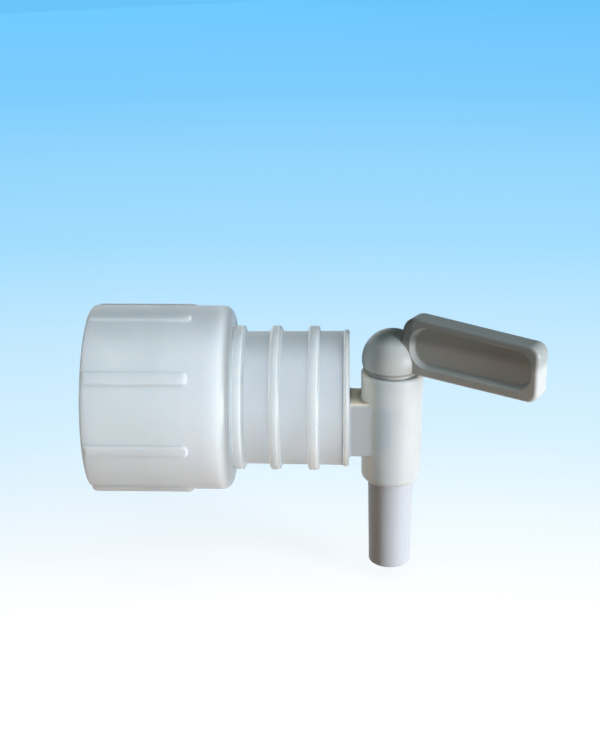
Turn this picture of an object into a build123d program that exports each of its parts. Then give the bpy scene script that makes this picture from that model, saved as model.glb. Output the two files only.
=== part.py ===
"""Container spigot: a union nut, a ribbed barrel and a plug tap with a paddle handle.

The X axis is the barrel's axis and points from the container to the tap, and Z is up.
The origin is the centre of the nut's open end, where the container's neck goes in.
The plug is drawn in the pose of the photograph, part open.
"""
import math
import os

from build123d import *

# Clearances between pieces
flange_gap = 0.2
journal_clearance = 0.3
weld_spigot_gap = 0.05
plug_running_clearance = 0.06
snap_clearance = 0.35

# Union nut
nut_length = 52.8
nut_diameter = 68.8
nut_wall = 4.1
nut_end_wall = 4.0
nut_shoulder_radius = 4.2
nut_mouth_chamfer = 0.8
thread_runout = 3.6
thread_relief = 0.5
thread_diameter = nut_diameter - 2 * nut_wall

# Grip ribs round the nut
rib_count = 8
rib_first_angle = 12.0
rib_width = 5.0
rib_height = 1.2
rib_start = 1.0
rib_end_distance = 14.4
rib_end_radius = 2.2
rib_edge_radius = 1.05

# Ribbed barrel
flange_thickness = 4.0
flange_clearance = 0.6
barrel_inset = 5.55
barrel_flare = 0.35
barrel_length = 40.0
barrel_wall = 2.2
collar_start_gap = 0.6
ring_height = 1.85
ring_snap = 0.3
collar_width = 4.2
collar_ramp = 0.8
crowned_ring_distance = 15.3
crowned_ring_width = 4.3
crowned_ring_radius = 1.35
flat_ring_distance = 29.4
flat_ring_width = 4.1
flat_ring_radius = 0.8
small_edge_radius = 0.5

# Sealing washer
washer_thickness = 3.0
washer_clearance = 0.8
washer_lip = 1.5

# Tap body: disc, neck and upright
disc_thickness = 2.5
disc_overhang = 0.5
disc_bead_radius = 1.1
weld_spigot_length = 4.0
weld_spigot_wall = 1.3
tap_distance = 18.4
neck_width = 17.3
neck_height = 21.2
neck_z = -9.85
neck_wall = 2.1
neck_edge_radius = 1.0
neck_duct_radius = 3.0
neck_root_fillet = 1.0
upright_top_z = 11.0
upright_bottom_z = -32.6
upright_top_diameter = 23.2
upright_bottom_diameter = 22.3
upright_toe_radius = 2.8
upright_rim_chamfer = 0.5

# Plug: stem, window, snap ring and spout
stem_top_diameter = 18.8
stem_bottom_diameter = 17.2
spout_tip_z = -67.7
spout_tip_diameter = 15.9
spout_lip_radius = 0.9
flow_bore_diameter = 12.6
flow_bore_top_z = 3.0
flow_bore_end_flat = 2.0
window_height = 16.4
window_width = 8.9
window_corner_radius = 3.0
snap_ring_z = -28.0
snap_ring_width = 1.6
snap_ring_height = 0.45

# Head and paddle handle
handle_angle = -31.0
head_radius = 11.4
head_center_z = 15.9
head_underside_z = 13.0
paddle_reach = 60.0
paddle_height = 22.1
paddle_top_drop = 2.4
paddle_bottom_drop = 1.2
paddle_thickness = 8.5
paddle_heel_foot = 1.8
paddle_heel_top = 7.3
paddle_heel_radius = 6.0
paddle_tip_radius = 4.0
paddle_edge_radius = 1.5
pocket_start = 9.3
pocket_top_rim = 2.45
pocket_bottom_rim = 3.6
pocket_end_rim = 2.9
pocket_depth = 2.6
pocket_heel_radius = 7.0
pocket_tip_radius = 6.0
pocket_draft = 18.0
pocket_floor_radius = 0.7
pocket_edge_radius = 0.35

# Sizes that follow from the nut and the barrel
nut_radius = nut_diameter / 2
rib_length = nut_length - rib_start - rib_end_distance
flange_diameter = thread_diameter - 2 * flange_clearance
barrel_root_diameter = thread_diameter - 2 * barrel_inset
barrel_end_diameter = barrel_root_diameter + 2 * barrel_flare
ring_diameter = barrel_end_diameter + 2 * ring_height
nut_hole_diameter = ring_diameter - 2 * ring_snap
journal_diameter = nut_hole_diameter - 2 * journal_clearance
disc_diameter = barrel_end_diameter + 2 * disc_overhang
washer_diameter = thread_diameter - 2 * washer_clearance
washer_hole = barrel_root_diameter - 2 * washer_lip

# Places along the main axis
flange_outer_x = nut_length - nut_end_wall - flange_gap
flange_inner_x = flange_outer_x - flange_thickness
washer_x = flange_inner_x - washer_thickness
thread_depth = washer_x - thread_runout
collar_x = nut_length + collar_start_gap
crowned_ring_x = collar_x + crowned_ring_distance
flat_ring_x = collar_x + flat_ring_distance
barrel_end_x = collar_x + barrel_length
disc_x = barrel_end_x
disc_outer_x = disc_x + disc_thickness
tap_x = barrel_end_x + tap_distance
taper_per_mm = (barrel_end_diameter - barrel_root_diameter) / (barrel_end_x - collar_x) / 2
stem_taper = (stem_top_diameter - stem_bottom_diameter) / (upright_top_z - upright_bottom_z) / 2

# The frame of the handle: its own x runs out along the paddle and its y runs up
handle_direction = Vector(1, 0, 0).rotate(Axis.Z, handle_angle)
handle_plane = Plane(
    origin=(tap_x, 0, 0),
    x_dir=handle_direction,
    z_dir=handle_direction.cross(Vector(0, 0, 1)),
)


def barrel_radius(x):
    """Outer radius of the tapered barrel at a place along the main axis."""
    return barrel_root_diameter / 2 + taper_per_mm * (x - collar_x)


def stem_radius(z):
    """Outer radius of the tapered plug at a height in the upright."""
    return stem_bottom_diameter / 2 + stem_taper * (z - upright_bottom_z)


def corner(sketch, x, y):
    """The vertex of a profile that lies nearest to a place in the profile's own plane."""
    return sketch.vertices().sort_by_distance((x, y))[0]


def make_nut():
    """Union nut with a plain threaded bore, an inward flange and grip ribs."""
    bore_radius = thread_diameter / 2
    hole_radius = nut_hole_diameter / 2
    relief_radius = bore_radius + thread_relief
    with BuildPart() as ribs:
        with BuildSketch(Plane.YZ.offset(rib_start)):
            with PolarLocations(nut_radius, rib_count, start_angle=rib_first_angle):
                Rectangle(2 * rib_height, rib_width)
        extrude(amount=rib_length)
        end_edges = ribs.edges().filter_by(
            lambda edge: math.isclose(edge.length, 2 * rib_height, rel_tol=1e-6)
        )
        fillet(end_edges.group_by(Axis.X)[-1], rib_end_radius)
        crown_faces = ribs.faces().filter_by(
            lambda face: math.hypot(face.center().Y, face.center().Z) > nut_radius + 0.9 * rib_height
        )
        fillet(crown_faces.edges(), rib_edge_radius)

    with BuildPart() as nut:
        with BuildSketch(Plane.XZ) as profile:
            with BuildLine():
                Polyline(
                    (0, bore_radius),
                    (0, nut_radius),
                    (nut_length, nut_radius),
                    (nut_length, hole_radius),
                    (nut_length - nut_end_wall, hole_radius),
                    (nut_length - nut_end_wall, relief_radius),
                    (thread_depth, relief_radius),
                    (thread_depth, bore_radius),
                    close=True,
                )
            make_face()
            fillet(corner(profile, nut_length, nut_radius), nut_shoulder_radius)
            chamfer(corner(profile, 0, nut_radius), nut_mouth_chamfer)
            chamfer(corner(profile, nut_length, hole_radius), small_edge_radius)
        revolve(axis=Axis.X)
        add(ribs.part)
    return nut.part


def make_washer():
    """Flat rubber washer that the container's mouth presses on the barrel's flange."""
    with BuildPart() as washer:
        with BuildSketch(Plane.YZ.offset(washer_x)):
            Circle(washer_diameter / 2)
            Circle(washer_hole / 2, mode=Mode.SUBTRACT)
        extrude(amount=washer_thickness)
    return washer.part


def make_barrel():
    """Ribbed barrel with its flange inside the nut and three rings outside."""
    root_bore = barrel_root_diameter / 2 - barrel_wall
    end_bore = barrel_end_diameter / 2 - barrel_wall
    flange_radius = flange_diameter / 2
    journal_radius = journal_diameter / 2
    collar_end_x = collar_x + collar_width
    crown = ring_diameter / 2
    with BuildPart() as barrel:
        with BuildSketch(Plane.XZ) as profile:
            with BuildLine():
                Polyline(
                    (flange_inner_x, root_bore),
                    (flange_inner_x, flange_radius),
                    (flange_outer_x, flange_radius),
                    (flange_outer_x, journal_radius),
                    (collar_x, journal_radius),
                    (collar_x, crown),
                    (collar_end_x - collar_ramp, crown),
                    (collar_end_x, barrel_radius(collar_end_x)),
                    (barrel_end_x, barrel_end_diameter / 2),
                    (barrel_end_x, end_bore),
                    close=True,
                )
            make_face()
            fillet(corner(profile, flange_inner_x, flange_radius), small_edge_radius)
            fillet(corner(profile, flange_outer_x, flange_radius), small_edge_radius)
            fillet(corner(profile, collar_x, crown), small_edge_radius)
            fillet(corner(profile, collar_end_x - collar_ramp, crown), small_edge_radius)
        revolve(axis=Axis.X)
        for ring_x, ring_width, crown_radius in (
            (crowned_ring_x, crowned_ring_width, crowned_ring_radius),
            (flat_ring_x, flat_ring_width, flat_ring_radius),
        ):
            ring_root = barrel_radius(ring_x) - barrel_wall / 2
            with BuildSketch(Plane.XZ) as ring_profile:
                with Locations((ring_x, (ring_root + crown) / 2)):
                    Rectangle(ring_width, crown - ring_root)
                fillet(ring_profile.vertices().group_by(Axis.Y)[-1], crown_radius)
            revolve(axis=Axis.X)
    return barrel.part


def make_tap_body():
    """Closing disc, rectangular neck, and the tapered upright that holds the plug."""
    tap_axis = Axis((tap_x, 0, 0), (0, 0, 1))
    disc_radius = disc_diameter / 2
    spigot_radius = barrel_end_diameter / 2 - barrel_wall - weld_spigot_gap
    spigot_x = disc_x - weld_spigot_length
    neck_root_x = disc_x + disc_thickness / 2
    cavity_top = stem_radius(upright_top_z) + plug_running_clearance
    cavity_bottom = stem_radius(upright_bottom_z) + plug_running_clearance
    groove_radius = stem_radius(snap_ring_z) + snap_ring_height + snap_clearance
    with BuildPart() as body:
        # Closing disc with its rounded bead, and the ring that enters the barrel
        with BuildSketch(Plane.XZ) as disc_profile:
            with BuildLine():
                Polyline(
                    (spigot_x, spigot_radius - weld_spigot_wall),
                    (spigot_x, spigot_radius),
                    (disc_x, spigot_radius),
                    (disc_x, disc_radius),
                    (disc_outer_x, disc_radius),
                    (disc_outer_x, 0),
                    (disc_x, 0),
                    (disc_x, spigot_radius - weld_spigot_wall),
                    close=True,
                )
            make_face()
            fillet(corner(disc_profile, disc_x, disc_radius), disc_bead_radius)
            fillet(corner(disc_profile, disc_outer_x, disc_radius), disc_bead_radius)
        revolve(axis=Axis.X)
        # Rectangular neck
        with BuildSketch(Plane.YZ.offset(neck_root_x)):
            with Locations((0, neck_z)):
                RectangleRounded(neck_width, neck_height, neck_edge_radius)
        extrude(amount=tap_x - neck_root_x)
        root_edges = body.edges().filter_by_position(Axis.X, disc_outer_x - 0.01, disc_outer_x + 0.01)
        fillet(
            root_edges.filter_by(lambda edge: edge.length < disc_radius),
            neck_root_fillet,
        )
        # Upright, slightly narrower at its foot
        with BuildSketch(Plane.XZ) as upright_profile:
            with BuildLine():
                Polyline(
                    (tap_x, upright_bottom_z),
                    (tap_x + upright_bottom_diameter / 2, upright_bottom_z),
                    (tap_x + upright_top_diameter / 2, upright_top_z),
                    (tap_x, upright_top_z),
                    close=True,
                )
            make_face()
            foot = corner(upright_profile, tap_x + upright_bottom_diameter / 2, upright_bottom_z)
            fillet(foot, upright_toe_radius)
            rim = corner(upright_profile, tap_x + upright_top_diameter / 2, upright_top_z)
            chamfer(rim, upright_rim_chamfer)
        revolve(axis=tap_axis)
        # Tapered cavity for the plug, with a groove for its snap ring
        with BuildSketch(Plane.XZ):
            with BuildLine():
                Polyline(
                    (tap_x, upright_bottom_z),
                    (tap_x + cavity_bottom, upright_bottom_z),
                    (tap_x + cavity_top, upright_top_z),
                    (tap_x, upright_top_z),
                    close=True,
                )
            make_face()
        revolve(axis=tap_axis, mode=Mode.SUBTRACT)
        with BuildSketch(Plane.XY.offset(snap_ring_z)):
            with Locations((tap_x, 0)):
                Circle(groove_radius)
        extrude(amount=snap_ring_width / 2 + snap_clearance, both=True, mode=Mode.SUBTRACT)
        # Duct through the disc and the neck into the cavity
        with BuildSketch(Plane.YZ.offset(spigot_x)):
            with Locations((0, neck_z)):
                RectangleRounded(
                    neck_width - 2 * neck_wall,
                    neck_height - 2 * neck_wall,
                    neck_duct_radius,
                )
        extrude(amount=tap_x - spigot_x, mode=Mode.SUBTRACT)
    return body.part


def make_plug():
    """Paddle handle, ball head, hollow tapered stem with a window, and spout."""
    tap_axis = Axis((tap_x, 0, 0), (0, 0, 1))
    paddle_top_z = head_underside_z + paddle_height
    tip_top_z = paddle_top_z - paddle_top_drop
    tip_bottom_z = head_underside_z - paddle_bottom_drop
    pocket_end = paddle_reach - pocket_end_rim
    start_share = pocket_start / paddle_reach
    end_share = pocket_end / paddle_reach
    pocket_bottom_z = head_underside_z + pocket_bottom_rim
    pocket_top_z = paddle_top_z - pocket_top_rim
    underside_radius = math.sqrt(head_radius**2 - (head_center_z - head_underside_z) ** 2)
    with BuildPart() as plug:
        # Paddle with rounded corners, a little lower towards its tip
        with BuildSketch(handle_plane) as paddle_sketch:
            with BuildLine():
                Polyline(
                    (paddle_heel_foot, head_underside_z),
                    (paddle_reach, tip_bottom_z),
                    (paddle_reach, tip_top_z),
                    (paddle_heel_top, paddle_top_z),
                    close=True,
                )
            make_face()
            fillet(paddle_sketch.vertices().group_by(Axis.X)[-1], paddle_tip_radius)
            fillet(corner(paddle_sketch, paddle_heel_top, paddle_top_z), paddle_heel_radius)
        extrude(amount=paddle_thickness / 2, both=True)
        side_faces = plug.faces().filter_by(Axis((0, 0, 0), tuple(handle_plane.z_dir)))
        fillet(side_faces.edges(), paddle_edge_radius)
        # The same pocket in each side of the paddle
        for side in (1, -1):
            with BuildSketch(handle_plane.offset(side * paddle_thickness / 2)) as pocket_sketch:
                with BuildLine():
                    Polyline(
                        (pocket_start, pocket_bottom_z - paddle_bottom_drop * start_share),
                        (pocket_end, pocket_bottom_z - paddle_bottom_drop * end_share),
                        (pocket_end, pocket_top_z - paddle_top_drop * end_share),
                        (pocket_start, pocket_top_z - paddle_top_drop * start_share),
                        close=True,
                    )
                make_face()
                fillet(pocket_sketch.vertices().group_by(Axis.X)[-1], pocket_tip_radius)
                fillet(pocket_sketch.vertices().group_by(Axis.X)[0], pocket_heel_radius)
            extrude(amount=-side * pocket_depth, taper=pocket_draft, mode=Mode.SUBTRACT)
        flat_faces = plug.faces().filter_by(Axis((0, 0, 0), tuple(handle_plane.z_dir)))
        web_half = paddle_thickness / 2 - pocket_depth
        floor_faces = flat_faces.filter_by(
            lambda face: abs(handle_plane.to_local_coords(face.center()).Z) < web_half + 0.1
        )
        fillet(floor_faces.edges(), pocket_floor_radius)
        outer_faces = plug.faces().filter_by(Axis((0, 0, 0), tuple(handle_plane.z_dir))).filter_by(
            lambda face: abs(handle_plane.to_local_coords(face.center()).Z) > web_half + 0.1
        )
        rim_edges = [edge for face in outer_faces for wire in face.inner_wires() for edge in wire.edges()]
        fillet(rim_edges, pocket_edge_radius)
        # Ball head, flat underneath
        with BuildSketch(Plane.XZ):
            with BuildLine():
                head_top = (tap_x, head_center_z + head_radius)
                head_edge = (tap_x + underside_radius, head_underside_z)
                head_side = (tap_x + head_radius, head_center_z)
                ThreePointArc(head_top, head_side, head_edge)
                Polyline(head_edge, (tap_x, head_underside_z), head_top)
            make_face()
        revolve(axis=tap_axis)
        # Tapered stem and spout
        with BuildSketch(Plane.XZ) as stem_profile:
            with BuildLine():
                Polyline(
                    (tap_x, head_center_z),
                    (tap_x, spout_tip_z),
                    (tap_x + spout_tip_diameter / 2, spout_tip_z),
                    (tap_x + stem_bottom_diameter / 2, upright_bottom_z),
                    (tap_x + stem_radius(head_underside_z), head_underside_z),
                    (tap_x + stem_radius(head_underside_z), head_center_z),
                    close=True,
                )
            make_face()
            fillet(corner(stem_profile, tap_x + spout_tip_diameter / 2, spout_tip_z), spout_lip_radius)
        revolve(axis=tap_axis)
        # Snap ring that keeps the plug down
        with BuildSketch(Plane.XZ) as snap_sketch:
            with Locations((tap_x + stem_radius(snap_ring_z), snap_ring_z)):
                Rectangle(2 * snap_ring_height, snap_ring_width)
            fillet(snap_sketch.vertices().group_by(Axis.X)[-1], snap_ring_height * 0.8)
        revolve(axis=tap_axis)
        # Flow bore, open at the tip, and the window that meets the neck's duct
        with BuildSketch(Plane.XZ) as bore_sketch:
            with BuildLine():
                Polyline(
                    (tap_x, spout_tip_z),
                    (tap_x + flow_bore_diameter / 2, spout_tip_z),
                    (tap_x + flow_bore_diameter / 2, flow_bore_top_z),
                    (tap_x, flow_bore_top_z),
                    close=True,
                )
            make_face()
            bore_corner = corner(bore_sketch, tap_x + flow_bore_diameter / 2, flow_bore_top_z)
            fillet(bore_corner, flow_bore_diameter / 2 - flow_bore_end_flat)
        revolve(axis=tap_axis, mode=Mode.SUBTRACT)
        window_direction = handle_plane.z_dir
        window_plane = Plane(
            origin=(tap_x, 0, neck_z),
            x_dir=handle_direction,
            z_dir=window_direction,
        )
        with BuildSketch(window_plane):
            RectangleRounded(window_width, window_height, window_corner_radius)
        extrude(amount=stem_top_diameter, mode=Mode.SUBTRACT)
    return plug.part


os.makedirs("parts", exist_ok=True)

cap_nut = make_nut()
cap_nut.label = "cap_nut"
export_step(cap_nut, "parts/cap_nut.step")

sealing_washer = make_washer()
sealing_washer.label = "sealing_washer"
export_step(sealing_washer, "parts/sealing_washer.step")

ribbed_barrel = make_barrel()
ribbed_barrel.label = "ribbed_barrel"
export_step(ribbed_barrel, "parts/ribbed_barrel.step")

tap_body = make_tap_body()
tap_body.label = "tap_body"
export_step(tap_body, "parts/tap_body.step")

tap_plug = make_plug()
tap_plug.label = "tap_plug"
export_step(tap_plug, "parts/tap_plug.step")
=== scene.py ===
"""Container spigot: the visual model of a plastic container tap with a union nut.

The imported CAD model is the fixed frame. Its five solids stay and take the moulded finishes
below, and the coarse thread inside the nut and the bead of the weld are added here.
Lengths in the classes are in millimetres, and meshes are made in metres.
"""
from __future__ import annotations

import logging
import math
from dataclasses import dataclass
from enum import Enum
from functools import partial

import bmesh
import bpy
from mathutils import Matrix, Vector, noise


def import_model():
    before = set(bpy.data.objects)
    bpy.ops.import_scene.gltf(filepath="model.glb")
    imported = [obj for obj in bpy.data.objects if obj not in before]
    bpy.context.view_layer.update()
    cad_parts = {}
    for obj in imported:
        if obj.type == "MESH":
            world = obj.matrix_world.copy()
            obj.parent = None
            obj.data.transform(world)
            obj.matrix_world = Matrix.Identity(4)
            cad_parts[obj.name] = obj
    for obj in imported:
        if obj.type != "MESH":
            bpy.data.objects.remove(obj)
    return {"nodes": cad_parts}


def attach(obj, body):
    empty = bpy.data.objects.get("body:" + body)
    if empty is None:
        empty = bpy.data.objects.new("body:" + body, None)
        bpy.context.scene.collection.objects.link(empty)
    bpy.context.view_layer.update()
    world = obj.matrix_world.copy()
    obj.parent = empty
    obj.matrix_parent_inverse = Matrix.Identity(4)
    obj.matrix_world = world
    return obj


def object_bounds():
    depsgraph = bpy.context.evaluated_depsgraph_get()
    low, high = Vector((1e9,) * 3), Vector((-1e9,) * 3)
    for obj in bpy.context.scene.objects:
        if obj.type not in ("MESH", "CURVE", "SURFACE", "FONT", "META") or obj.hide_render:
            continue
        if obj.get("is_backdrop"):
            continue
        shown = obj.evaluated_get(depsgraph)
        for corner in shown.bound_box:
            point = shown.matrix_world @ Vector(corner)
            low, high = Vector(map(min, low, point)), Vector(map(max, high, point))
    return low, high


LOG = logging.getLogger("container_spigot")
MM = 0.001
PLUG_AXIS_X_MM = 111.8
TRANSLUCENT_PIECES = ("cap_nut", "nut_thread", "ribbed_barrel", "tap_body", "weld_bead")
OPAQUE_PIECES = ("tap_plug", "sealing_washer")
FLOOR = "paper_floor"

Point = tuple[float, float, float]
Settings = dict[str, object]
Sockets = dict[object, object]


def linear_rgba(hex_colour: str) -> tuple[float, float, float, float]:
    """Turn an sRGB hex colour into the linear values that shaders use.

    Args:
        hex_colour: Six hex digits with a leading hash sign.

    Returns:
        Linear red, green and blue, and an alpha of 1.
    """
    channels = []
    for start in (1, 3, 5):
        value = int(hex_colour[start:start + 2], 16) / 255
        channels.append(value / 12.92 if value <= 0.04045 else ((value + 0.055) / 1.055) ** 2.4)
    return (channels[0], channels[1], channels[2], 1.0)


def per_metre(feature_mm: float) -> float:
    """Texture scale, in cells per metre, of a pattern whose cells are feature_mm across."""
    return 1.0 / (feature_mm * MM)


def add_node(
    tree: bpy.types.NodeTree,
    kind: str,
    settings: Settings | None = None,
    values: Sockets | None = None,
    links: Sockets | None = None,
) -> bpy.types.Node:
    """Add one shader node with its settings, plain socket values and incoming links.

    Args:
        tree: Node tree that gets the node.
        kind: Blender's type name of the node.
        settings: Properties of the node, by name.
        values: Values of unlinked sockets, by socket name or number.
        links: Output sockets to link in, by socket name or number.

    Returns:
        The new node.
    """
    node = tree.nodes.new(kind)
    for name, value in (settings or {}).items():
        setattr(node, name, value)
    for key, value in (values or {}).items():
        node.inputs[key].default_value = value
    for key, output in (links or {}).items():
        tree.links.new(output, node.inputs[key])
    return node


def calculated(
    tree: bpy.types.NodeTree,
    operation: str,
    *inputs: float | bpy.types.NodeSocket,
) -> bpy.types.NodeSocket:
    """Add a math node.

    Args:
        tree: Node tree of the material.
        operation: Blender's name of the operation.
        inputs: Plain numbers or sockets to link in, in the node's own order.

    Returns:
        The result's output.
    """
    plain = {place: value for place, value in enumerate(inputs) if isinstance(value, float)}
    linked = {place: value for place, value in enumerate(inputs) if place not in plain}
    return add_node(tree, "ShaderNodeMath", {"operation": operation}, plain, linked).outputs[0]


def length_of(
    tree: bpy.types.NodeTree,
    first: bpy.types.NodeSocket,
    second: bpy.types.NodeSocket,
) -> bpy.types.NodeSocket:
    """Length of the vector whose two parts at right angles are given."""
    flat = add_node(tree, "ShaderNodeCombineXYZ", links={0: first, 1: second})
    length = add_node(
        tree, "ShaderNodeVectorMath", {"operation": "LENGTH"},
        links={0: flat.outputs[0]},
    )
    return length.outputs["Value"]


def bump(
    tree: bpy.types.NodeTree,
    height: bpy.types.NodeSocket,
    depth_mm: float,
    normal: bpy.types.NodeSocket | None = None,
) -> bpy.types.NodeSocket:
    """Add fine relief.

    Args:
        tree: Node tree of the material.
        height: Height of the relief in depths.
        depth_mm: The depth that a height of 1 stands for.
        normal: Normal under the relief, or None for the surface's own.

    Returns:
        The normal with the relief.
    """
    links = {"Height": height}
    if normal is not None:
        links["Normal"] = normal
    values = {"Strength": 1.0, "Distance": depth_mm * MM}
    return add_node(tree, "ShaderNodeBump", values=values, links=links).outputs[0]


def seen_by(tree: bpy.types.NodeTree, *rays: str) -> bpy.types.NodeSocket:
    """Tell some kinds of ray from all others.

    Args:
        tree: Node tree of the material or the world.
        rays: Names of the light path's outputs.

    Returns:
        An output of 1 for these rays and 0 for the rest.
    """
    path = add_node(tree, "ShaderNodeLightPath")
    share = path.outputs[rays[0]]
    for ray in rays[1:]:
        share = calculated(tree, "MAXIMUM", share, path.outputs[ray])
    return share


def new_material(name: str) -> tuple[bpy.types.Material, bpy.types.NodeTree]:
    """Make an empty node material.

    Args:
        name: Name of the material.

    Returns:
        The material and its cleared node tree.
    """
    material = bpy.data.materials.new(name)
    material.use_nodes = True
    material.node_tree.nodes.clear()
    return material, material.node_tree


@dataclass(frozen=True)
class Fade:
    """A smooth change from nothing at one value to a share at another."""

    none: float
    full: float
    share: float = 1.0


def rise_mask(
    tree: bpy.types.NodeTree,
    value: bpy.types.NodeSocket,
    fade: Fade,
    unit: float = 1.0,
) -> bpy.types.NodeSocket:
    """Follow a fade as a value changes.

    Args:
        tree: Node tree of the material.
        value: The value read.
        fade: Where the mask is 0, where it is full, and its share there.
        unit: The fade's unit, in that of the value.

    Returns:
        The mask's output.
    """
    rise = add_node(
        tree, "ShaderNodeMapRange", {"interpolation_type": "SMOOTHSTEP"},
        values={
            "From Min": fade.none * unit,
            "From Max": fade.full * unit,
            "To Min": 0.0,
            "To Max": fade.share,
        },
        links={"Value": value},
    )
    return rise.outputs[0]


def ramp_mask(
    tree: bpy.types.NodeTree,
    length: bpy.types.NodeSocket,
    fade: Fade,
) -> bpy.types.NodeSocket:
    """Follow a fade given in millimetres as a length in metres changes."""
    return rise_mask(tree, length, fade, MM)


def all_of(tree: bpy.types.NodeTree, *masks: bpy.types.NodeSocket) -> bpy.types.NodeSocket:
    """Multiply masks, so that the result is full only where all of them are."""
    product = masks[0]
    for mask in masks[1:]:
        product = calculated(tree, "MULTIPLY", product, mask)
    return product


def tinted(
    tree: bpy.types.NodeTree,
    colour: bpy.types.NodeSocket,
    *tints: tuple[str, bpy.types.NodeSocket],
) -> bpy.types.NodeSocket:
    """Mix other colours over a colour, one after the other.

    Args:
        tree: Node tree of the material.
        colour: The colour below.
        tints: Hex colours, each with the mask of its share from 0 to 1.

    Returns:
        The mixed colour's output.
    """
    for tint_hex, mask in tints:
        mixed = add_node(
            tree, "ShaderNodeMix", {"data_type": "RGBA"},
            values={7: linear_rgba(tint_hex)},
            links={0: mask, 6: colour},
        )
        colour = mixed.outputs[2]
    return colour


@dataclass(frozen=True)
class SurfacePoint:
    """Where a shaded point lies on its piece, as the finishes read it, in metres."""

    tree: bpy.types.NodeTree
    position: bpy.types.NodeSocket
    x: bpy.types.NodeSocket
    y: bpy.types.NodeSocket
    z: bpy.types.NodeSocket
    facing_x: bpy.types.NodeSocket

    @classmethod
    def of(cls, tree: bpy.types.NodeTree) -> SurfacePoint:
        """Read the object coordinates, which are the frame's own, and the normal's X."""
        coordinates = add_node(tree, "ShaderNodeTexCoord")
        position = coordinates.outputs["Object"]
        x, y, z = add_node(tree, "ShaderNodeSeparateXYZ", links={0: position}).outputs
        normal = add_node(tree, "ShaderNodeSeparateXYZ", links={0: coordinates.outputs["Normal"]})
        return cls(tree, position, x, y, z, normal.outputs[0])

    def offset_from_plug_axis(self) -> bpy.types.NodeSocket:
        """How far the point lies from the plug's axis towards the nut."""
        return calculated(self.tree, "SUBTRACT", PLUG_AXIS_X_MM * MM, self.x)

    def distance_to_plug_axis(self) -> bpy.types.NodeSocket:
        """The point's level distance from the plug's axis."""
        return length_of(self.tree, self.offset_from_plug_axis(), self.y)

    def distance_to_main_axis(self) -> bpy.types.NodeSocket:
        """The point's distance from the main axis."""
        return length_of(self.tree, self.y, self.z)

    def noise_pattern(
        self,
        feature_mm: float,
        detail: float,
        roughness: float = 0.5,
    ) -> bpy.types.NodeSocket:
        """Read a noise at the point.

        Args:
            feature_mm: Size of the pattern's cells.
            detail: Number of finer layers.
            roughness: Weight of the finer layers.

        Returns:
            The noise, from 0 to 1.
        """
        pattern = add_node(
            self.tree, "ShaderNodeTexNoise",
            values={"Scale": per_metre(feature_mm), "Detail": detail, "Roughness": roughness},
            links={"Vector": self.position},
        )
        return pattern.outputs[0]


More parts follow.
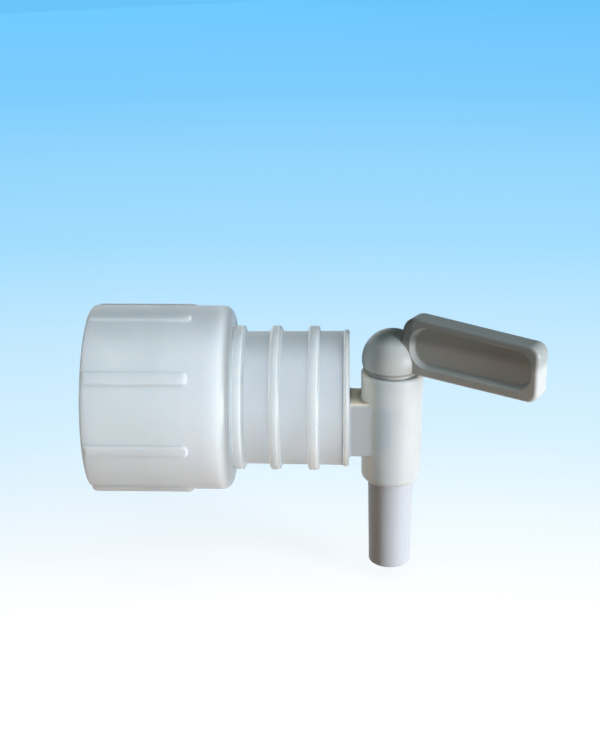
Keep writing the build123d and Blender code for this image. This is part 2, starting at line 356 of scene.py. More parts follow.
@dataclass(frozen=True)
class MouldedPolyethylene:
    """Natural low density polyethylene, injection moulded.

    The eye gets a milky cool white that lets light in a few millimetres, a satin skin with
    very soft gloss, faint clouding where the melt flowed, and a few dark specks of regrind.
    The flank and lee tints are painted shade and painted light: faces turned to the tap are greyed
    and faces turned away are whitened, standing for light that enters the wall on one side of a
    ring and leaves it on the other.
    """

    name: str = "natural_polyethylene_moulded"
    body_hex: str = "#CED6DA"
    cloud_hex: str = "#C9D2D6"
    speck_hex: str = "#8C8A80"
    roughness: float = 0.42
    roughness_less: float = 0.05
    roughness_more: float = 0.07
    ior: float = 1.51
    # painted shade on faces turned to the tap, painted light on faces turned away
    flank_painted_shade_hex: str = "#8F989B"
    flank: Fade = Fade(0.15, 0.55, 0.85)
    flank_painted_shade_reach: Fade = Fade(43.0, 45.0)
    lee_painted_light_hex: str = "#F4F8FA"
    lee: Fade = Fade(-0.1, -0.6, 0.85)
    lee_painted_light_reach: Fade = Fade(0.0, 1.0)
    glow_weight: float = 1.0
    glow_mm: float = 8.0
    glow_by_channel: Point = (1.0, 0.9, 0.75)
    cloud_mm: float = 14.0
    speck_spacing_mm: float = 8.0
    speck_mm: float = 0.28
    speck_share: float = 0.8
    grain_mm: float = 0.9
    grain_depth_mm: float = 0.012
    sink_mm: float = 11.0
    sink_depth_mm: float = 0.05

    def build(self) -> bpy.types.Material:
        """Make the material, for every piece of this plastic without local marks."""
        material, tree = new_material(self.name)
        point = SurfacePoint.of(tree)
        self.close(point, self.with_painted_flank_light(point, self.clouded_colour(point)))
        return material

    def with_painted_flank_light(
        self,
        point: SurfacePoint,
        colour: bpy.types.NodeSocket,
    ) -> bpy.types.NodeSocket:
        """Paint shade on the faces turned to the tap, and paint light on those turned away from it.

        Args:
            point: The surface point.
            colour: The colour below.

        Returns:
            The colour with both tints.
        """
        tints = []
        for tint_hex, facing, reach in (
            (self.flank_painted_shade_hex, self.flank, self.flank_painted_shade_reach),
            (self.lee_painted_light_hex, self.lee, self.lee_painted_light_reach),
        ):
            turned = rise_mask(point.tree, point.facing_x, facing)
            there = ramp_mask(point.tree, point.x, reach)
            tints.append((tint_hex, all_of(point.tree, turned, there)))
        return tinted(point.tree, colour, *tints)

    def clouded_colour(self, point: SurfacePoint) -> bpy.types.NodeSocket:
        """Mix the body colour with flow clouding and fine specks.

        Args:
            point: The surface point.

        Returns:
            The colour output.
        """
        tree = point.tree
        cloud_share = add_node(
            tree, "ShaderNodeMapRange",
            values={"From Min": 0.35, "From Max": 0.65, "To Min": 0.0, "To Max": 1.0},
            links={"Value": point.noise_pattern(self.cloud_mm, detail=3.0, roughness=0.45)},
        )
        clouded = add_node(
            tree, "ShaderNodeMix", {"data_type": "RGBA"},
            values={6: linear_rgba(self.body_hex), 7: linear_rgba(self.cloud_hex)},
            links={0: cloud_share.outputs[0]},
        )
        cells = add_node(
            tree, "ShaderNodeTexVoronoi",
            values={"Scale": per_metre(self.speck_spacing_mm)},
            links={"Vector": point.position},
        )
        speck_radius = self.speck_mm / self.speck_spacing_mm
        specks = add_node(
            tree, "ShaderNodeMapRange",
            values={
                "From Min": speck_radius * 0.5,
                "From Max": speck_radius,
                "To Min": self.speck_share,
                "To Max": 0.0,
            },
            links={"Value": cells.outputs["Distance"]},
        )
        return tinted(tree, clouded.outputs[2], (self.speck_hex, specks.outputs[0]))

    def close(
        self,
        point: SurfacePoint,
        colour: bpy.types.NodeSocket,
        extra_height: bpy.types.NodeSocket | None = None,
        soft_normal: bpy.types.NodeSocket | None = None,
    ) -> None:
        """Add the skin's relief and gloss, the shader and the output.

        Args:
            point: The surface point.
            colour: Colour of the plastic.
            extra_height: Height of local marks in grain depths, or None.
            soft_normal: Normal under the relief, or None for the surface's own.
        """
        tree = point.tree
        sinks = point.noise_pattern(self.sink_mm, detail=1.0)
        fine_height = point.noise_pattern(self.grain_mm, detail=2.0)
        if extra_height is not None:
            fine_height = calculated(tree, "ADD", fine_height, extra_height)
        skin = bump(tree, sinks, self.sink_depth_mm, soft_normal)
        gloss = add_node(
            tree, "ShaderNodeMapRange",
            values={
                "To Min": self.roughness - self.roughness_less,
                "To Max": self.roughness + self.roughness_more,
            },
            links={"Value": sinks},
        )
        shader = add_node(
            tree, "ShaderNodeBsdfPrincipled",
            values={
                "IOR": self.ior,
                "Subsurface Weight": self.glow_weight,
                "Subsurface Radius": self.glow_by_channel,
                "Subsurface Scale": self.glow_mm * MM,
            },
            links={
                "Base Color": colour,
                "Roughness": gloss.outputs[0],
                "Normal": bump(tree, fine_height, self.grain_depth_mm, skin),
            },
        )
        add_node(tree, "ShaderNodeOutputMaterial", links={0: shader.outputs[0]})


@dataclass(frozen=True)
class NutPolyethylene(MouldedPolyethylene):
    """The nut's natural polyethylene, thick enough to glow from within.

    The eye gets the brightest white of the part, which softens the grip ribs, painted light that
    pales it past the thread, and a rounded shoulder greyed with painted shade where the wall turns
    away and the light leaks out at the back. It has no painted lee light.
    """

    name: str = "natural_polyethylene_thick_moulded"
    body_hex: str = "#D2DADE"
    cloud_hex: str = "#CED7DB"
    # painted light: the nut turns paler past the thread, towards the shoulder
    pale_painted_light_hex: str = "#DCE5EA"
    pale_painted_light_reach: Fade = Fade(24.0, 46.0)
    rib_reach: Fade = Fade(41.0, 39.5, 0.7)
    rib_height: Fade = Fade(33.5, 34.1)
    # painted shade: greys the shoulder and rib ends turned to the tap
    flank_painted_shade_hex: str = "#747B7E"
    flank: Fade = Fade(-0.02, 0.95, 0.9)
    lee: Fade = Fade(-0.1, -0.6, 0.0)
    glow_mm: float = 9.0

    def build(self) -> bpy.types.Material:
        """Make the material, with ribs that the glow in the wall makes faint."""
        material, tree = new_material(self.name)
        point = SurfacePoint.of(tree)
        colour = self.with_painted_flank_light(point, self.clouded_colour(point))
        self.close(point, colour, soft_normal=self.soft_normal(point))
        return material

    def soft_normal(self, point: SurfacePoint) -> bpy.types.NodeSocket:
        """Turn the ribs' normals part of the way to the plain round wall's.

        Args:
            point: The surface point.

        Returns:
            The normal, in world space.
        """
        tree = point.tree
        outward = add_node(tree, "ShaderNodeCombineXYZ", links={1: point.y, 2: point.z})
        in_world = add_node(
            tree, "ShaderNodeVectorTransform",
            {"vector_type": "NORMAL", "convert_from": "OBJECT", "convert_to": "WORLD"},
            links={0: outward.outputs[0]},
        )
        own = add_node(tree, "ShaderNodeNewGeometry")
        on_ribs = all_of(
            tree,
            ramp_mask(tree, point.x, self.rib_reach),
            ramp_mask(tree, point.distance_to_main_axis(), self.rib_height),
        )
        mixed = add_node(
            tree, "ShaderNodeMix", {"data_type": "VECTOR"},
            links={0: on_ribs, 4: own.outputs["Normal"], 5: in_world.outputs[0]},
        )
        unit = add_node(
            tree, "ShaderNodeVectorMath", {"operation": "NORMALIZE"},
            links={0: mixed.outputs[1]},
        )
        return unit.outputs[0]

    def clouded_colour(self, point: SurfacePoint) -> bpy.types.NodeSocket:
        """Paint light over the clouded colour past the thread, where no ridge stops the light."""
        past_thread = ramp_mask(point.tree, point.x, self.pale_painted_light_reach)
        return tinted(point.tree, super().clouded_colour(point), (self.pale_painted_light_hex, past_thread))


@dataclass(frozen=True)
class WeldedTapPolyethylene(MouldedPolyethylene):
    """The tap body's natural polyethylene, with the marks that only this piece shows.

    The eye gets a milky white a little greyer than the nut's, a cooler rounded patch of painted
    shade where the plug's window lies behind the wall, a neck greyed with painted shade under a top
    lightened with warm pale painted light, a dark corner of painted shade, warm pale painted light
    on the side towards the nut, a thin band of painted shade round the top of the upright, and an
    uneven rim where the disc was hot welded.
    """

    name: str = "natural_polyethylene_hot_welded"
    body_hex: str = "#BFC6C7"
    cloud_hex: str = "#BAC1C2"
    glow_mm: float = 5.0
    upright_radius_mm: float = 11.6
    upright_taper: float = 0.0103
    on_upright: Fade = Fade(12.3, 11.7)
    off_upright: Fade = Fade(11.61, 11.7)
    warm_painted_light_hex: str = "#DBD5C8"
    warm_painted_light_side: Fade = Fade(4.6, 8.6, 0.8)
    window_painted_shade_hex: str = "#B3BEC4"
    window_painted_shade_side: Fade = Fade(8.2, 2.4)
    patch_angle_deg: float = 23.0
    patch_half_angle_deg: float = 20.0
    patch_z_mm: float = -7.9
    patch_half_height_mm: float = 8.5
    patch_corner_mm: float = 3.0
    patch_edge: Fade = Fade(3.5, 2.4)
    neck_painted_shade_hex: str = "#A2A7A8"
    past_disc: Fade = Fade(96.2, 96.5)
    below_neck_top: Fade = Fade(1.55, 1.05)
    neck_top_painted_light_hex: str = "#DDD4C2"
    at_neck_top: Fade = Fade(0.25, 0.65)
    shade_hex: str = "#857763"
    corner_reach: Fade = Fade(14.6, 12.0, 0.6)
    corner_side: Fade = Fade(-8.4, -6.4)
    rim_line_painted_shade_hex: str = "#A3A8A8"
    rim_line_painted_shade_height: Fade = Fade(10.2, 10.5, 0.35)
    rim_line_painted_shade_reach: Fade = Fade(11.0, 11.2)
    on_disc: Fade = Fade(96.6, 96.2)
    flank_painted_shade_reach: Fade = on_disc
    lee_painted_light_reach: Fade = on_disc
    rim_hex: str = "#C4CBCD"
    rim_reach: Fade = Fade(24.0, 24.9)
    flaw_mm: float = 1.8
    flaw_height: float = 4.5
    seam_hex: str = "#B4BBB9"
    seam_x_mm: float = 94.4
    seam_half_width_mm: float = 0.16
    seam_share: float = 0.3

    def build(self) -> bpy.types.Material:
        """Make the material with painted shade and light on the patch, neck, top, side and rim
        line, with its rim and seam.
        """
        material, tree = new_material(self.name)
        point = SurfacePoint.of(tree)
        ramp = partial(ramp_mask, tree)
        joined = partial(all_of, tree)
        reach = self.reach_as_at_the_top(point)
        beside = point.offset_from_plug_axis()
        neck = joined(
            ramp(reach, self.off_upright),
            ramp(point.x, self.past_disc),
            ramp(point.z, self.below_neck_top),
        )
        neck_top = joined(neck, ramp(point.z, self.at_neck_top))
        corner = joined(ramp(reach, self.corner_reach), ramp(point.y, self.corner_side))
        rim = joined(
            ramp(point.distance_to_main_axis(), self.rim_reach),
            ramp(point.x, self.on_disc),
        )
        colour = tinted(
            tree, self.clouded_colour(point),
            # painted light, warm and pale, on the upright's side towards the nut
            (self.warm_painted_light_hex, joined(ramp(beside, self.warm_painted_light_side), ramp(reach, self.on_upright))),
            # painted shade of the plug's window behind the wall
            (self.window_painted_shade_hex, joined(self.window_painted_shade_mask(point), ramp(beside, self.window_painted_shade_side))),
            # painted shade on the hollow neck
            (self.neck_painted_shade_hex, neck),
            # painted light on the neck's top, with painted shade in its corner by the upright below
            (self.neck_top_painted_light_hex, neck_top),
            (self.shade_hex, joined(neck_top, corner)),
            # painted shade in a thin band round the top of the upright, under the head
            (self.rim_line_painted_shade_hex, joined(
                ramp(point.z, self.rim_line_painted_shade_height), ramp(reach, self.rim_line_painted_shade_reach),
            )),
            (self.rim_hex, rim),
            (self.seam_hex, self.seam_mask(point)),
        )
        flaws = joined(point.noise_pattern(self.flaw_mm, detail=2.0), rim)
        flaw_height = calculated(tree, "MULTIPLY", flaws, self.flaw_height)
        self.close(point, self.with_painted_flank_light(point, colour), flaw_height)
        return material

    def reach_as_at_the_top(self, point: SurfacePoint) -> bpy.types.NodeSocket:
        """The distance from the plug's axis with the upright's taper taken out.

        Args:
            point: The surface point.

        Returns:
            The distance in metres, which is the same all the way down the upright.
        """
        taken_out = calculated(point.tree, "MULTIPLY", point.z, -self.upright_taper)
        return calculated(point.tree, "ADD", point.distance_to_plug_axis(), taken_out)

    def window_painted_shade_mask(self, point: SurfacePoint) -> bpy.types.NodeSocket:
        """Mark the rounded patch of painted shade where the plug's window lies behind the wall, by
        angle round the plug's axis and height.

        Args:
            point: The surface point.

        Returns:
            A share from 0 outside the patch to 1 inside it.
        """
        compute = partial(calculated, point.tree)
        radius = self.upright_radius_mm * MM
        corner = self.patch_corner_mm * MM
        half_width = math.radians(self.patch_half_angle_deg) * radius
        towards_front = compute("MULTIPLY", point.y, -1.0)
        angle = compute("ARCTAN2", point.offset_from_plug_axis(), towards_front)
        overhangs = []
        for value, middle, per_unit, half in (
            (angle, math.radians(self.patch_angle_deg), radius, half_width),
            (point.z, self.patch_z_mm * MM, 1.0, self.patch_half_height_mm * MM),
        ):
            length = compute("MULTIPLY", compute("SUBTRACT", value, middle), per_unit)
            beyond = compute("SUBTRACT", compute("ABSOLUTE", length), half - corner)
            overhangs.append(compute("MAXIMUM", beyond, 0.0))
        return ramp_mask(point.tree, length_of(point.tree, *overhangs), self.patch_edge)

    def seam_mask(self, point: SurfacePoint) -> bpy.types.NodeSocket:
        """Mark the thin line where the weld's two halves of the rim met.

        Args:
            point: The surface point.

        Returns:
            A mask that is strongest on the line.
        """
        offset = calculated(point.tree, "SUBTRACT", point.x, self.seam_x_mm * MM)
        line = add_node(
            point.tree, "ShaderNodeMapRange",
            values={
                "From Min": self.seam_half_width_mm * MM * 0.5,
                "From Max": self.seam_half_width_mm * MM * 1.5,
                "To Min": self.seam_share,
                "To Max": 0.0,
            },
            links={"Value": calculated(point.tree, "ABSOLUTE", offset)},
        )
        return line.outputs[0]


@dataclass(frozen=True)
class PigmentedPolyethylene(MouldedPolyethylene):
    """White pigmented high density polyethylene, injection moulded.

    The eye gets a nearly opaque neutral white with a satin skin. Its shaded side reads
    plain grey, because the pigment stops the light that the natural plastic lets through.
    The grey crown is painted shadow, darkest over the middle of the head's top, and the darker
    crease under the head is painted shade.
    """

    name: str = "white_polyethylene_moulded"
    body_hex: str = "#C8CECD"
    cloud_hex: str = "#C3C9C8"
    # painted shade: the spout is a little darker and cooler than the rest of the plug
    spout_painted_shade_hex: str = "#C1C9D0"
    spout_height: Fade = Fade(-31.0, -33.0)
    # painted shadow over the head's top, darkest over its middle
    crown_painted_shadow_hex: str = "#6A7371"
    crown_height: Fade = Fade(23.0, 27.2, 0.5)
    head_reach: Fade = Fade(12.0, 10.0, 1.5)
    # painted shade in the crease under the head
    crease_painted_shade_hex: str = "#8A7C6E"
    above_crease_foot: Fade = Fade(11.6, 12.3, 0.75)
    below_crease_top: Fade = Fade(13.5, 13.15)
    crease_reach: Fade = Fade(11.6, 11.3)
    glow_weight: float = 0.2
    glow_mm: float = 1.2
    roughness: float = 0.4
    sink_depth_mm: float = 0.06

    def build(self) -> bpy.types.Material:
        """Make the material with painted shade on its crease, spout and crown."""
        material, tree = new_material(self.name)
        point = SurfacePoint.of(tree)
        ramp = partial(ramp_mask, tree)
        reach = point.distance_to_plug_axis()
        crease = all_of(
            tree,
            ramp(point.z, self.above_crease_foot),
            ramp(point.z, self.below_crease_top),
            ramp(reach, self.crease_reach),
        )
        crown = ramp(point.z, self.crown_height)
        colour = tinted(
            tree, self.clouded_colour(point),
            (self.crease_painted_shade_hex, crease),
            (self.spout_painted_shade_hex, ramp(point.z, self.spout_height)),
            (self.crown_painted_shadow_hex, crown),
            (self.crown_painted_shadow_hex, all_of(tree, crown, ramp(reach, self.head_reach))),
        )
        self.close(point, colour)
        return material


@dataclass(frozen=True)
class NitrileRubber:
    """Black nitrile rubber, cut from moulded sheet.

    The eye gets a matt near black with a fine even grain and no clear highlight.
    """

    name: str = "nitrile_rubber_sheet"
    body_hex: str = "#2B2B2C"
    bloom_hex: str = "#3B3B3A"
    roughness: float = 0.75
    ior: float = 1.52
    grain_mm: float = 0.6
    grain_depth_mm: float = 0.03
    bloom_mm: float = 7.0

    def build(self) -> bpy.types.Material:
        """Make the material."""
        material, tree = new_material(self.name)
        point = SurfacePoint.of(tree)
        colour = add_node(
            tree, "ShaderNodeMix", {"data_type": "RGBA"},
            values={6: linear_rgba(self.body_hex), 7: linear_rgba(self.bloom_hex)},
            links={0: point.noise_pattern(self.bloom_mm, detail=3.0)},
        )
        grain = point.noise_pattern(self.grain_mm, detail=2.0)
        relief = bump(tree, grain, self.grain_depth_mm)
        shader = add_node(
            tree, "ShaderNodeBsdfPrincipled",
            values={"Roughness": self.roughness, "IOR": self.ior},
            links={"Base Color": colour.outputs[2], "Normal": relief},
        )
        add_node(tree, "ShaderNodeOutputMaterial", links={0: shader.outputs[0]})
        return material


@dataclass(frozen=True)
class PaperSweep:
    """Matt studio paper, white near the camera and sky blue far off.

    The eye gets an even ground that sets off the white plastic and keeps its soft shadow.
    What the paper throws back on the object is weaker and a little warm, like a table's.
    """

    name: str = "studio_paper"
    near_hex: str = "#FFFFFF"
    between: tuple[tuple[float, str], ...] = (
        (0.10, "#D6F0FF"),
        (0.286, "#A4DEFE"),
        (0.6, "#7FCEFF"),
    )
    far_hex: str = "#6DC8FF"
    bounce_hex: str = "#C9A27E"
    near_mm: float = 485.0
    far_mm: float = 2200.0
    seen_share: float = 0.85
    seen_strength: float = 1.1

    def build(self, centre: Vector) -> bpy.types.Material:
        """Make the material.

        Args:
            centre: Middle of the white area, in metres.

        Returns:
            The material.
        """
        material, tree = new_material(self.name)
        reach = add_node(
            tree, "ShaderNodeVectorMath", {"operation": "DISTANCE"},
            values={1: tuple(centre)},
            links={0: SurfacePoint.of(tree).position},
        )
        share = add_node(
            tree, "ShaderNodeMapRange",
            values={"From Min": self.near_mm * MM, "From Max": self.far_mm * MM},
            links={"Value": reach.outputs["Value"]},
        )
        colours = add_node(tree, "ShaderNodeValToRGB", links={0: share.outputs[0]})
        ramp = colours.color_ramp
        ramp.elements[0].color = linear_rgba(self.near_hex)
        ramp.elements[1].color = linear_rgba(self.far_hex)
        for place, colour in self.between:
            ramp.elements.new(place).color = linear_rgba(colour)
        seen = seen_by(tree, "Is Camera Ray", "Is Glossy Ray", "Is Transmission Ray")
        thrown = add_node(
            tree, "ShaderNodeMix", {"data_type": "RGBA"},
            values={6: linear_rgba(self.bounce_hex)},
            links={0: seen, 7: colours.outputs[0]},
        )
        paper = add_node(
            tree, "ShaderNodeBsdfDiffuse",
            values={"Roughness": 0.5},
            links={"Color": thrown.outputs[2]},
        )
        glow = add_node(
            tree, "ShaderNodeEmission",
            values={"Strength": self.seen_strength},
            links={"Color": colours.outputs[0]},
        )
        glow_share = calculated(tree, "MULTIPLY", seen, self.seen_share)
        mixed = add_node(
            tree, "ShaderNodeMixShader",
            links={0: glow_share, 1: paper.outputs[0], 2: glow.outputs[0]},
        )
        add_node(tree, "ShaderNodeOutputMaterial", links={0: mixed.outputs[0]})
        return material


def assign(piece: bpy.types.Object, material: bpy.types.Material) -> None:
    """Give a piece one material in all its slots.

    Args:
        piece: CAD node or new piece.
        material: Material to give.
    """
    if not piece.material_slots:
        piece.data.materials.append(material)
    for material_slot in piece.material_slots:
        material_slot.material = material


def tube_mesh(name: str, rings: list[list[Vector]], closed: bool) -> bpy.types.Object:
    """Skin a row of equal sections into one smooth mesh object.

    Args:
        name: Name of the object.
        rings: Sections with the same number of points, in order, in metres.
        closed: Whether the last section joins the first. If not, the ends are capped.

    Returns:
        The new object, linked to the scene.
    """
    mesh = bpy.data.meshes.new(name)
    shape = bmesh.new()
    rows = [[shape.verts.new(point) for point in ring] for ring in rings]
    count = len(rows[0])
    steps = len(rows) if closed else len(rows) - 1
    for step in range(steps):
        here = rows[step]
        there = rows[(step + 1) % len(rows)]
        for side in range(count):
            after = (side + 1) % count
            shape.faces.new((here[side], here[after], there[after], there[side]))
    if not closed:
        shape.faces.new(list(reversed(rows[0])))
        shape.faces.new(rows[-1])
    bmesh.ops.recalc_face_normals(shape, faces=shape.faces)
    shape.to_mesh(mesh)
    shape.free()
    for polygon in mesh.polygons:
        polygon.use_smooth = True
    piece = bpy.data.objects.new(name, mesh)
    bpy.context.scene.collection.objects.link(piece)
    return piece


@dataclass
class SubAssembly:
    """A part of the spigot that is one CAD node, with what is added to it."""

    node: str

    def dress(
        self,
        nodes: dict[str, bpy.types.Object],
        material: bpy.types.Material,
    ) -> list[str]:
        """Finish the CAD node.

        Args:
            nodes: CAD nodes by name.
            material: Material of the node and of what is added to it.

        Returns:
            Names of the pieces dressed.
        """
        assign(nodes[self.node], material)
        return [self.node]


@dataclass
class UnionNut(SubAssembly):
    """The union nut with its grip ribs, and the coarse container thread inside it."""

    node: str = "cap_nut"
    body: str = "nut"
    thread_root_radius: float = 30.3
    thread_crest_radius: float = 28.4
    thread_pitch: float = 6.0
    thread_start_x: float = 4.0
    thread_end_x: float = 35.0
    ridge_root_width: float = 3.1
    ridge_crest_width: float = 1.1
    ridge_rounding: float = 0.3
    ridge_depth_in_wall: float = 0.25
    runout_turns: float = 0.22
    least_share: float = 0.02
    sections_per_turn: int = 120

    def ridge_section(self, x: float, angle: float, share: float) -> list[Vector]:
        """One section of the thread's ridge.

        Args:
            x: Middle of the ridge along the main axis, in millimetres.
            angle: Angle round the main axis, in radians.
            share: Height of the ridge, from 0 at its run-out to 1.

        Returns:
            The section's points in metres.
        """
        root = self.thread_root_radius
        crest = root - share * (root - self.thread_crest_radius)
        sunk = root + self.ridge_depth_in_wall
        root_half = self.ridge_root_width / 2
        crest_half = self.ridge_crest_width / 2
        rounding = self.ridge_rounding * share
        outline = (
            (-root_half, sunk),
            (-root_half, root),
            (-crest_half - rounding, crest + rounding),
            (-crest_half, crest),
            (crest_half, crest),
            (crest_half + rounding, crest + rounding),
            (root_half, root),
            (root_half, sunk),
        )
        return [
            Vector(((x + along) * MM, radius * math.cos(angle) * MM, radius * math.sin(angle) * MM))
            for along, radius in outline
        ]

    def make_thread(self) -> bpy.types.Object:
        """Build the right-handed ridge, with a run-out at each end.

        Returns:
            The ridge's object.
        """
        turns = (self.thread_end_x - self.thread_start_x) / self.thread_pitch
        count = int(turns * self.sections_per_turn)
        rings = []
        for step in range(count + 1):
            turn = turns * step / count
            share = min(1.0, min(turn, turns - turn) / self.runout_turns)
            eased = max(self.least_share, share * share * (3 - 2 * share))
            x = self.thread_start_x + self.thread_pitch * turn
            rings.append(self.ridge_section(x, math.tau * turn, eased))
        return tube_mesh("nut_thread", rings, closed=False)

    def dress(
        self,
        nodes: dict[str, bpy.types.Object],
        material: bpy.types.Material,
    ) -> list[str]:
        """Finish the nut and add its thread, of the same plastic."""
        names = super().dress(nodes, material)
        thread = self.make_thread()
        assign(thread, material)
        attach(thread, self.body)
        return [*names, thread.name]


@dataclass
class RibbedBarrel(SubAssembly):
    """The ribbed barrel, which the nut turns on."""

    node: str = "ribbed_barrel"


@dataclass
class TapBody(SubAssembly):
    """The disc, the low rectangular neck, the upright, and the uneven bead of the weld."""

    node: str = "tap_body"
    body: str = "tap"
    bead_x: float = 93.5
    bead_ring_radius: float = 24.6
    bead_radius: float = 0.55
    bead_sections: int = 360
    bead_sides: int = 10
    lump_size: float = 4.5
    swell_share: float = 0.3
    shift: float = 0.12
    shift_noise_offset: Point = (7.0, 0.0, 0.0)

    def make_bead(self) -> bpy.types.Object:
        """Build the bead as a closed ring whose thickness wanders as a hot weld's does.

        Returns:
            The bead's object.
        """
        along = Vector((1.0, 0.0, 0.0))
        rings = []
        for step in range(self.bead_sections):
            angle = math.tau * step / self.bead_sections
            outward = Vector((0.0, math.cos(angle), math.sin(angle)))
            middle = along * self.bead_x + outward * self.bead_ring_radius
            lump = middle / self.lump_size
            radius = self.bead_radius * (1.0 + self.swell_share * noise.noise(lump))
            shift = self.shift * noise.noise(lump + Vector(self.shift_noise_offset))
            section = []
            for side in range(self.bead_sides):
                turn = math.tau * side / self.bead_sides
                sideways = along * (math.cos(turn) * radius + shift)
                offset = sideways + outward * math.sin(turn) * radius
                section.append((middle + offset) * MM)
            rings.append(section)
        return tube_mesh("weld_bead", rings, closed=True)

    def dress(
        self,
        nodes: dict[str, bpy.types.Object],
        material: bpy.types.Material,
    ) -> list[str]:
        """Finish the tap body and add the bead, which was squeezed out of the same plastic."""
        names = super().dress(nodes, material)
        bead = self.make_bead()
        assign(bead, material)
        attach(bead, self.body)
        return [*names, bead.name]


@dataclass
class TapPlug(SubAssembly):
    """The turning plug with its paddle handle, ball head and spout."""

    node: str = "tap_plug"


@dataclass
class SealingWasher(SubAssembly):
    """The flat washer inside the nut."""

    node: str = "sealing_washer"


@dataclass(frozen=True)
class SoftBox:
    """A round soft box. Its bearing runs from the front, to the right where positive."""

    bearing_deg: float
    height_deg: float
    distance_m: float
    size_m: float
    watts: float
    colour_hex: str

    @property
    def place(self) -> Vector:
        """Offset from the object's middle, in metres."""
        bearing = math.radians(self.bearing_deg)
        height = math.radians(self.height_deg)
        return Vector((
            self.distance_m * math.cos(height) * math.sin(bearing),
            -self.distance_m * math.cos(height) * math.cos(bearing),
            self.distance_m * math.sin(height),
        ))


class Lamp(Enum):
    """The studio's lamps. GLOW stands for the light that spreads in the translucent walls."""

    KEY = SoftBox(59.5, 1.0, 1.10, 0.36, 17.4, "#FBFBFF")
    KEY_HIGH = SoftBox(57.0, 40.0, 1.10, 0.34, 2.6, "#E7F5FF")
    TOP = SoftBox(0.0, 80.0, 1.50, 1.00, 5.5, "#F2FEFF")
    BACK = SoftBox(200.0, 8.0, 1.60, 1.20, 4.6, "#FFFFFF")
    GLOW = SoftBox(-58.0, 25.0, 1.20, 0.90, 4.6, "#E4F1FA")


Rig = tuple[Lamp, bpy.types.Collection | None, bpy.types.Collection | None]


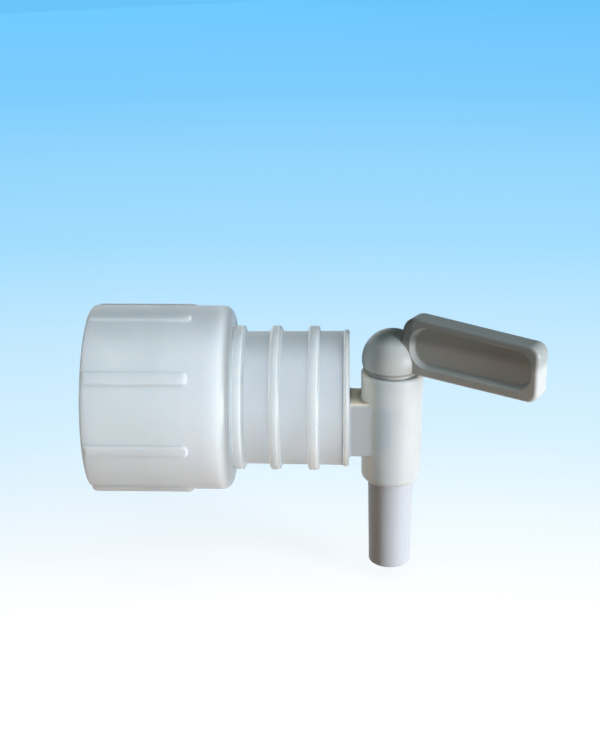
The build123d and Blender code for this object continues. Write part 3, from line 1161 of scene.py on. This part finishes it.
@dataclass
class Studio:
    """The plain floor, the soft lamps, the world and the camera of the photograph."""

    floor_radius_mm: float = 14000.0
    floor_drop_mm: float = 6.0
    middle_mm: Point = (78.0, 0.0, 0.0)
    camera_mm: Point = (94.49, -511.9, 211.97)
    forward: Point = (-0.031, 0.9304, -0.3651)
    upward: Point = (-0.0059, 0.3651, 0.9309)
    focal_px: float = 1477.4
    frame_width_px: float = 600.0
    sensor_mm: float = 36.0
    world_hex: str = "#C9D6E2"
    world_strength: float = 0.012
    far_paper_strength: float = 0.93

    def make_floor(self, lowest_z: float) -> bpy.types.Object:
        """Lay the paper just below the object.

        Args:
            lowest_z: Lowest point of the object, in metres.

        Returns:
            The floor's object.
        """
        mesh = bpy.data.meshes.new(FLOOR)
        shape = bmesh.new()
        height = lowest_z - self.floor_drop_mm * MM
        bmesh.ops.create_circle(
            shape, cap_ends=True, segments=96, radius=self.floor_radius_mm * MM,
            matrix=Matrix.Translation((0.0, 0.0, height)),
        )
        shape.to_mesh(mesh)
        shape.free()
        floor = bpy.data.objects.new(FLOOR, mesh)
        bpy.context.scene.collection.objects.link(floor)
        near_camera = Vector((self.camera_mm[0] * MM, self.camera_mm[1] * MM, height))
        assign(floor, PaperSweep().build(near_camera))
        floor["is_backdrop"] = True
        return floor

    def group(self, name: str, *pieces: str) -> bpy.types.Collection:
        """Gather pieces for a lamp's light or shadow.

        Args:
            name: Name of the collection.
            pieces: Names of the pieces in it.

        Returns:
            The collection, which isn't part of the scene's own tree.
        """
        collection = bpy.data.collections.new(name)
        for piece in pieces:
            collection.objects.link(bpy.data.objects[piece])
        return collection

    def rigs(self) -> tuple[Rig, ...]:
        """List the lamps to hang, with the pieces that each lights and those that shade it.

        The key lamp hangs twice in one place, at one power. On the opaque pieces and the floor
        every piece casts its shadow. On the translucent pieces the nut and the barrel cast none,
        because their thin walls let that light through. The glow reaches only the latter.

        Returns:
            Each lamp with its receivers and its blockers, None standing for everything.
        """
        translucent = self.group("translucent_pieces", *TRANSLUCENT_PIECES)
        the_rest = self.group("opaque_pieces_and_floor", *OPAQUE_PIECES, FLOOR)
        opaque = self.group("opaque_pieces", *OPAQUE_PIECES)
        opaque_and_tap = self.group("opaque_pieces_and_tap", *OPAQUE_PIECES, "tap_body")
        return (
            (Lamp.KEY, the_rest, None),
            (Lamp.KEY, translucent, opaque_and_tap),
            (Lamp.KEY_HIGH, None, None),
            (Lamp.TOP, None, None),
            (Lamp.BACK, None, None),
            (Lamp.GLOW, translucent, opaque),
        )

    def hang_lamps(self) -> list[str]:
        """Hang every soft box, turned to the object's middle.

        Returns:
            Names of the lamps.
        """
        middle = Vector(self.middle_mm) * MM
        names = []
        for lamp, receivers, blockers in self.rigs():
            box = lamp.value
            light = bpy.data.lights.new(lamp.name.lower(), "AREA")
            light.shape = "DISK"
            light.size = box.size_m
            light.energy = box.watts
            light.color = linear_rgba(box.colour_hex)[:3]
            holder = bpy.data.objects.new(lamp.name.lower(), light)
            holder.location = middle + box.place
            holder.rotation_euler = box.place.to_track_quat("Z", "Y").to_euler()
            bpy.context.scene.collection.objects.link(holder)
            holder.light_linking.receiver_collection = receivers
            holder.light_linking.blocker_collection = blockers
            names.append(holder.name)
        return names

    def make_world(self) -> None:
        """Give weak even light from all round, and the far paper's colour past the floor."""
        world = bpy.data.worlds.new("studio_air")
        bpy.context.scene.world = world
        world.use_nodes = True
        tree = world.node_tree
        tree.nodes.clear()
        even, far = (
            add_node(
                tree, "ShaderNodeBackground",
                values={"Color": linear_rgba(colour_hex), "Strength": strength},
            )
            for colour_hex, strength in (
                (self.world_hex, self.world_strength),
                (PaperSweep().far_hex, self.far_paper_strength),
            )
        )
        mixed = add_node(
            tree, "ShaderNodeMixShader",
            links={
                0: seen_by(tree, "Is Camera Ray", "Is Transmission Ray"),
                1: even.outputs[0],
                2: far.outputs[0],
            },
        )
        add_node(tree, "ShaderNodeOutputWorld", links={0: mixed.outputs[0]})

    def place_camera(self) -> bpy.types.Object:
        """Stand the camera where the photograph was taken from.

        Returns:
            The camera's object.
        """
        data = bpy.data.cameras.new("photograph_camera")
        data.sensor_fit = "HORIZONTAL"
        data.sensor_width = self.sensor_mm
        data.lens = self.focal_px / self.frame_width_px * self.sensor_mm
        data.clip_start = 0.01
        data.clip_end = 60.0
        camera = bpy.data.objects.new("photograph_camera", data)
        forward = Vector(self.forward).normalized()
        right = forward.cross(Vector(self.upward)).normalized()
        upward = right.cross(forward)
        turned = Matrix((right, upward, -forward)).transposed().to_4x4()
        camera.matrix_world = Matrix.Translation(Vector(self.camera_mm) * MM) @ turned
        bpy.context.scene.collection.objects.link(camera)
        bpy.context.scene.camera = camera
        return camera

    def set_up(self, lowest_z: float) -> None:
        """Build the whole studio round the object.

        Args:
            lowest_z: Lowest point of the object, in metres.
        """
        floor = self.make_floor(lowest_z)
        lamps = self.hang_lamps()
        self.make_world()
        camera = self.place_camera()
        bpy.context.scene.view_settings.view_transform = "Standard"
        LOG.info("studio: %s, %s, %s", floor.name, ", ".join(lamps), camera.name)


def box_lists() -> list[list[float]]:
    """The present bounds of the whole object, as plain lists."""
    return [[float(value) for value in corner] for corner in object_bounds()]


def main() -> None:
    """Load the frame, dress every sub-assembly and set up the studio."""
    logging.basicConfig(level=logging.INFO, format="%(name)s: %(message)s")
    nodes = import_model()["nodes"]
    cad_box = box_lists()
    for title, assembly, finish in (
        ("union nut", UnionNut(), NutPolyethylene()),
        ("ribbed barrel", RibbedBarrel(), MouldedPolyethylene()),
        ("tap body", TapBody(), WeldedTapPolyethylene()),
        ("tap plug", TapPlug(), PigmentedPolyethylene()),
        ("sealing washer", SealingWasher(), NitrileRubber()),
    ):
        LOG.info("%s: %s", title, ", ".join(assembly.dress(nodes, finish.build())))
    Studio().set_up(cad_box[0][2])


if __name__ == "__main__":
    main()
